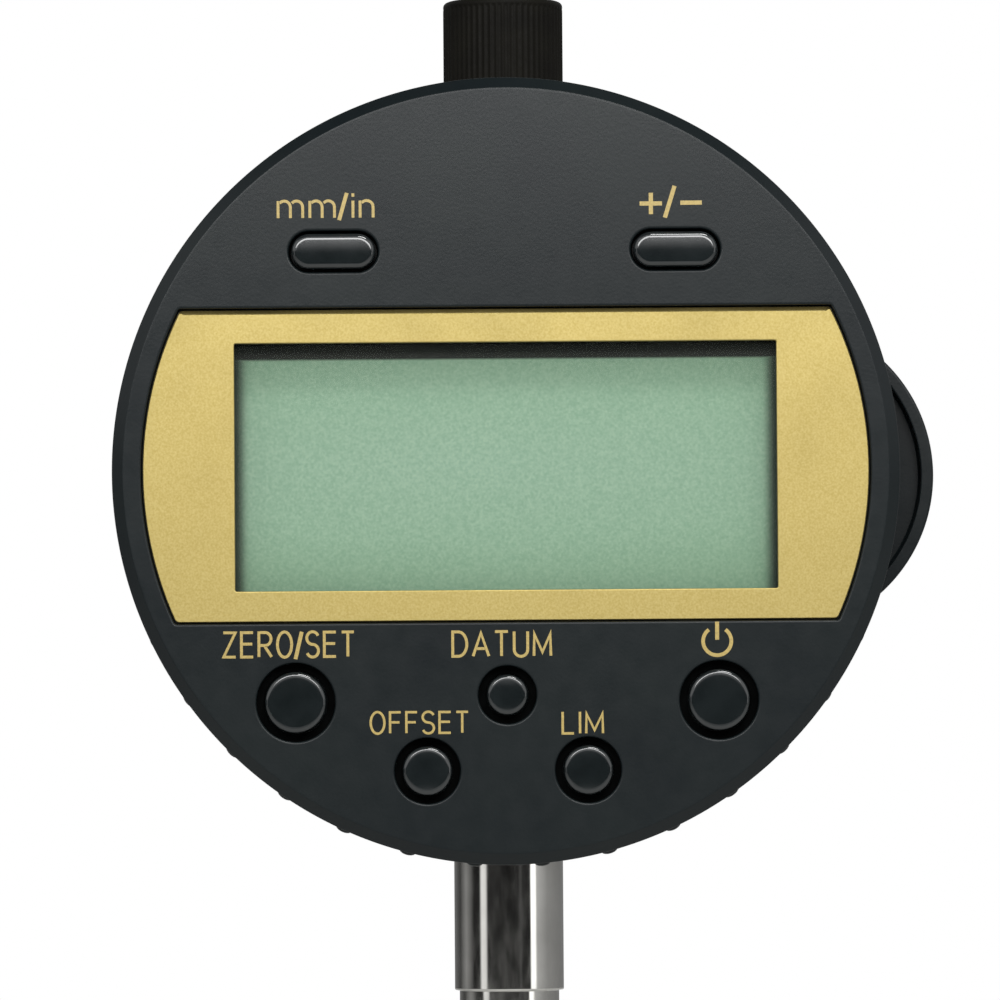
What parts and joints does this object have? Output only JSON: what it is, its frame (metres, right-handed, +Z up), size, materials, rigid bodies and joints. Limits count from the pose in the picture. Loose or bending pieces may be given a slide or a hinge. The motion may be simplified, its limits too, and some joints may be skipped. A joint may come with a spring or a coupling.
{
  "type": "digital dial indicator",
  "caption": "Plunger gauge with a round rotating LCD display head, push buttons, clamping stem, spring-loaded spindle with ball contact, slide-out coin-cell tray and rear mounting lug.",
  "frame": {"origin": "middle of the exposed clamping stem, on the spindle's axis", "axes": "+Z up along the spindle's axis, the display faces -Y, +X to the right as seen from the front"},
  "size_m": [0.0594, 0.0408, 0.0962],
  "materials": {
    "case_plastic": "black moulded plastic with a fine satin grain",
    "button_plastic": "glossy black",
    "cap_plastic": "black, finely ribbed",
    "bezel_gold": "satin gold anodised",
    "clear_acrylic": "clear, polished",
    "lcd_glass": "grey-green reflective display, blank",
    "stainless_steel": "ground and polished",
    "bronze": "machined bronze",
    "die_cast": "black paint on a die casting",
    "circuit_board": "green solder mask",
    "chip_epoxy": "moulded epoxy",
    "rubber": "black rubber",
    "polyimide": "amber film"
  },
  "bodies": {
    "body": {"body_housing": "die_cast", "stem": "stainless_steel", "lower_bush": "bronze", "upper_bush": "bronze", "stem_wiper_seal": "rubber", "spindle_bumper": "rubber", "top_cap": "cap_plastic", "back_cover": "die_cast", "back_cover_gasket": "rubber", "back_cover_screw_1": "stainless_steel", "back_cover_screw_2": "stainless_steel", "back_cover_screw_3": "stainless_steel", "back_cover_screw_4": "stainless_steel", "encoder_board": "circuit_board", "encoder_chip": "chip_epoxy", "sensor_ribbon": "polyimide", "pivot_ring": "stainless_steel", "pivot_ring_screw_1": "stainless_steel", "pivot_ring_screw_2": "stainless_steel", "pivot_ring_screw_3": "stainless_steel", "friction_washer": "stainless_steel", "rotation_stop_pin": "stainless_steel", "negative_contact": "stainless_steel", "positive_contact": "stainless_steel", "return_spring": "stainless_steel"},
    "spindle_group": {"spindle": "stainless_steel", "contact_point": "stainless_steel", "scale_carrier": "stainless_steel", "scale_strip": "circuit_board", "carrier_set_screw": "stainless_steel", "guide_pin": "stainless_steel"},
    "display_unit": {"front_case": "case_plastic", "display_back_plate": "case_plastic", "display_screw_1": "stainless_steel", "display_screw_2": "stainless_steel", "display_screw_3": "stainless_steel", "display_screw_4": "stainless_steel", "bezel_plate": "bezel_gold", "display_window": "clear_acrylic", "lcd_panel": "lcd_glass", "zebra_strip_upper": "rubber", "zebra_strip_lower": "rubber", "display_board": "circuit_board", "processor_chip": "chip_epoxy", "units_switch": "stainless_steel", "sign_switch": "stainless_steel", "zero_switch": "stainless_steel", "power_switch": "stainless_steel", "origin_switch": "stainless_steel", "preset_switch": "stainless_steel", "tolerance_switch": "stainless_steel"},
    "battery_drawer": {"battery_tray": "case_plastic", "coin_cell": "stainless_steel"},
    "units_key": {"units_button": "button_plastic"},
    "sign_key": {"sign_button": "button_plastic"},
    "zero_key": {"zero_button": "button_plastic"},
    "power_key": {"power_button": "button_plastic"},
    "origin_key": {"origin_button": "button_plastic"},
    "preset_key": {"preset_button": "button_plastic"},
    "tolerance_key": {"tolerance_button": "button_plastic"}
  },
  "joints": [
    {"name": "spindle_travel", "type": "slide", "parent": "body", "child": "spindle_group", "axis": [0, 0, 1], "range_m": [0, 0.0127], "stiffness_N_per_m": 60, "springref_m": -0.01, "deforming": ["return_spring"]},
    {"name": "display_rotation", "type": "hinge", "parent": "body", "child": "display_unit", "pos_m": [0, 0, 0.032], "axis": [0, -1, 0], "range_deg": [-135, 135]},
    {"name": "battery_drawer_slide", "type": "slide", "parent": "body", "child": "battery_drawer", "axis": [1, 0, 0], "range_m": [0, 0.0215]},
    {"name": "units_press", "type": "slide", "parent": "display_unit", "child": "units_key", "axis": [0, 1, 0], "range_m": [0, 0.0005], "stiffness_N_per_m": 1000, "springref_m": -0.0008},
    {"name": "sign_press", "type": "slide", "parent": "display_unit", "child": "sign_key", "axis": [0, 1, 0], "range_m": [0, 0.0005], "stiffness_N_per_m": 1000, "springref_m": -0.0008},
    {"name": "zero_press", "type": "slide", "parent": "display_unit", "child": "zero_key", "axis": [0, 1, 0], "range_m": [0, 0.0005], "stiffness_N_per_m": 1000, "springref_m": -0.0008},
    {"name": "power_press", "type": "slide", "parent": "display_unit", "child": "power_key", "axis": [0, 1, 0], "range_m": [0, 0.0005], "stiffness_N_per_m": 1000, "springref_m": -0.0008},
    {"name": "origin_press", "type": "slide", "parent": "display_unit", "child": "origin_key", "axis": [0, 1, 0], "range_m": [0, 0.0005], "stiffness_N_per_m": 1000, "springref_m": -0.0008},
    {"name": "preset_press", "type": "slide", "parent": "display_unit", "child": "preset_key", "axis": [0, 1, 0], "range_m": [0, 0.0005], "stiffness_N_per_m": 1000, "springref_m": -0.0008},
    {"name": "tolerance_press", "type": "slide", "parent": "display_unit", "child": "tolerance_key", "axis": [0, 1, 0], "range_m": [0, 0.0005], "stiffness_N_per_m": 1000, "springref_m": -0.0008}
  ]
}
